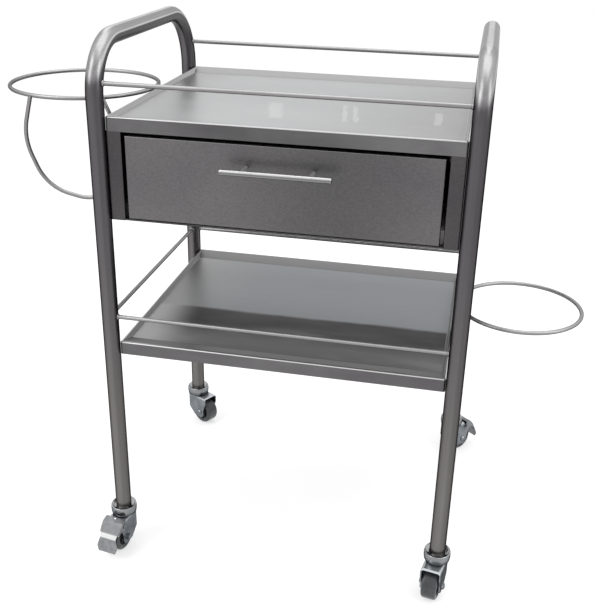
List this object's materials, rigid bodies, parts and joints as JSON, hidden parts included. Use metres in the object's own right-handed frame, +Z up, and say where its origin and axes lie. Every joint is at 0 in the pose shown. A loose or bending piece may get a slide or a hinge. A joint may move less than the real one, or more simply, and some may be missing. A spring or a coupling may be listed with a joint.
{
  "type": "instrument table",
  "caption": "Stainless instrument table on casters: bent tube side frames, tray shelves above and below, a drawer under the top shelf, rod rails and rod rings at the sides.",
  "frame": {"origin": "on the floor, below the middle of the whole width from ring to ring, midway between the front and rear legs", "axes": "+Z up, +X to the right seen from the drawer side, +Y to the back; the drawer opens towards -Y"},
  "size_m": [0.9492, 0.5355, 0.85],
  "materials": {
    "frame_tube": "brushed",
    "rod": "polished",
    "tray_sheet": "brushed",
    "drawer_sheet": "brushed",
    "handle_rod": "polished",
    "runner_white": "satin",
    "roller_plastic": "matte",
    "screw_zinc": "satin",
    "cup_chrome": "polished",
    "fork_zinc": "satin",
    "pedal_zinc": "satin",
    "hub_plastic": "matte",
    "tyre_rubber": "matte",
    "plug_plastic": "matte"
  },
  "bodies": {
    "table": {"left_side_frame": "frame_tube", "right_side_frame": "frame_tube", "top_front_rail": "rod", "top_rear_rail": "rod", "lower_front_rail": "rod", "lower_rear_rail": "rod", "lower_left_rail": "rod", "lower_right_rail": "rod", "top_shelf": "tray_sheet", "lower_shelf": "tray_sheet", "upper_ring": "rod", "cradle_hoop": "rod", "lower_ring": "rod", "housing_left_side": "drawer_sheet", "housing_right_side": "drawer_sheet", "housing_back": "drawer_sheet", "housing_sill": "drawer_sheet", "left_cabinet_runner": "runner_white", "right_cabinet_runner": "runner_white", "cabinet_runner_screws": "screw_zinc", "caster_stems": "screw_zinc", "tube_plugs": "plug_plastic", "swivel_bearings": "screw_zinc", "front_left_cup": "cup_chrome", "front_right_cup": "cup_chrome", "rear_left_cup": "cup_chrome", "rear_right_cup": "cup_chrome"},
    "drawer": {"drawer_front": "drawer_sheet", "drawer_box": "drawer_sheet", "handle_bar": "handle_rod", "handle_posts": "handle_rod", "handle_screws": "screw_zinc", "left_drawer_runner": "runner_white", "right_drawer_runner": "runner_white", "drawer_runner_screws": "screw_zinc"},
    "roller_left_front": {"left_front_roller": "roller_plastic"},
    "roller_left_rear": {"left_rear_roller": "roller_plastic"},
    "roller_right_front": {"right_front_roller": "roller_plastic"},
    "roller_right_rear": {"right_rear_roller": "roller_plastic"},
    "caster_front_left": {"front_left_fork": "fork_zinc", "front_left_axle_bolt": "fork_zinc", "front_left_pedal_pin": "fork_zinc"},
    "wheel_front_left": {"front_left_wheel_hub": "hub_plastic", "front_left_wheel_tyre": "tyre_rubber"},
    "caster_front_right": {"front_right_fork": "fork_zinc", "front_right_axle_bolt": "fork_zinc"},
    "wheel_front_right": {"front_right_wheel_hub": "hub_plastic", "front_right_wheel_tyre": "tyre_rubber"},
    "caster_rear_left": {"rear_left_fork": "fork_zinc", "rear_left_axle_bolt": "fork_zinc"},
    "wheel_rear_left": {"rear_left_wheel_hub": "hub_plastic", "rear_left_wheel_tyre": "tyre_rubber"},
    "caster_rear_right": {"rear_right_fork": "fork_zinc", "rear_right_axle_bolt": "fork_zinc", "rear_right_pedal_pin": "fork_zinc"},
    "wheel_rear_right": {"rear_right_wheel_hub": "hub_plastic", "rear_right_wheel_tyre": "tyre_rubber"},
    "pedal_front_left": {"front_left_brake_pedal": "pedal_zinc"},
    "pedal_rear_right": {"rear_right_brake_pedal": "pedal_zinc"}
  },
  "joints": [
    {"name": "drawer_slide", "type": "slide", "parent": "table", "child": "drawer", "axis": [0, -1, 0], "range_m": [0, 0.27]},
    {"name": "roller_left_front_spin", "type": "hinge", "parent": "table", "child": "roller_left_front", "pos_m": [-0.20624, -0.1825, 0.5999], "axis": [1, 0, 0], "continuous": true},
    {"name": "roller_left_rear_spin", "type": "hinge", "parent": "drawer", "child": "roller_left_rear", "pos_m": [-0.20374, 0.14605, 0.59745], "axis": [1, 0, 0], "continuous": true},
    {"name": "roller_right_front_spin", "type": "hinge", "parent": "table", "child": "roller_right_front", "pos_m": [0.24426, -0.1825, 0.5999], "axis": [1, 0, 0], "continuous": true},
    {"name": "roller_right_rear_spin", "type": "hinge", "parent": "drawer", "child": "roller_right_rear", "pos_m": [0.24176, 0.14605, 0.59745], "axis": [1, 0, 0], "continuous": true},
    {"name": "front_left_swivel", "type": "hinge", "parent": "table", "child": "caster_front_left", "pos_m": [-0.24599, -0.208, 0.06], "axis": [0, 0, 1], "continuous": true},
    {"name": "front_left_wheel_spin", "type": "hinge", "parent": "caster_front_left", "child": "wheel_front_left", "pos_m": [-0.24946, -0.2277, 0.025], "axis": [0.9848, -0.1736, 0], "continuous": true},
    {"name": "front_right_swivel", "type": "hinge", "parent": "table", "child": "caster_front_right", "pos_m": [0.28401, -0.208, 0.06], "axis": [0, 0, 1], "continuous": true},
    {"name": "front_right_wheel_spin", "type": "hinge", "parent": "caster_front_right", "child": "wheel_front_right", "pos_m": [0.2802, -0.22763, 0.025], "axis": [0.9816, -0.1908, 0], "continuous": true},
    {"name": "rear_left_swivel", "type": "hinge", "parent": "table", "child": "caster_rear_left", "pos_m": [-0.24599, 0.208, 0.06], "axis": [0, 0, 1], "continuous": true},
    {"name": "rear_left_wheel_spin", "type": "hinge", "parent": "caster_rear_left", "child": "wheel_rear_left", "pos_m": [-0.22867, 0.198, 0.025], "axis": [0.5, 0.866, 0], "continuous": true},
    {"name": "rear_right_swivel", "type": "hinge", "parent": "table", "child": "caster_rear_right", "pos_m": [0.28401, 0.208, 0.06], "axis": [0, 0, 1], "continuous": true},
    {"name": "rear_right_wheel_spin", "type": "hinge", "parent": "caster_rear_right", "child": "wheel_rear_right", "pos_m": [0.29687, 0.22332, 0.025], "axis": [-0.766, 0.6428, 0], "continuous": true},
    {"name": "front_left_brake", "type": "hinge", "parent": "caster_front_left", "child": "pedal_front_left", "pos_m": [-0.25102, -0.23656, 0.052], "axis": [0.9848, -0.1736, 0], "range_deg": [0, 11.5]},
    {"name": "rear_right_brake", "type": "hinge", "parent": "caster_rear_right", "child": "pedal_rear_right", "pos_m": [0.30266, 0.23022, 0.052], "axis": [-0.766, 0.6428, 0], "range_deg": [0, 11.5]}
  ],
  "couplings": [
    {"joint": "roller_left_front_spin", "follows": "drawer_slide", "rad_per_m": 117.65},
    {"joint": "roller_left_rear_spin", "follows": "drawer_slide", "rad_per_m": 117.65},
    {"joint": "roller_right_front_spin", "follows": "drawer_slide", "rad_per_m": 117.65},
    {"joint": "roller_right_rear_spin", "follows": "drawer_slide", "rad_per_m": 117.65}
  ]
}
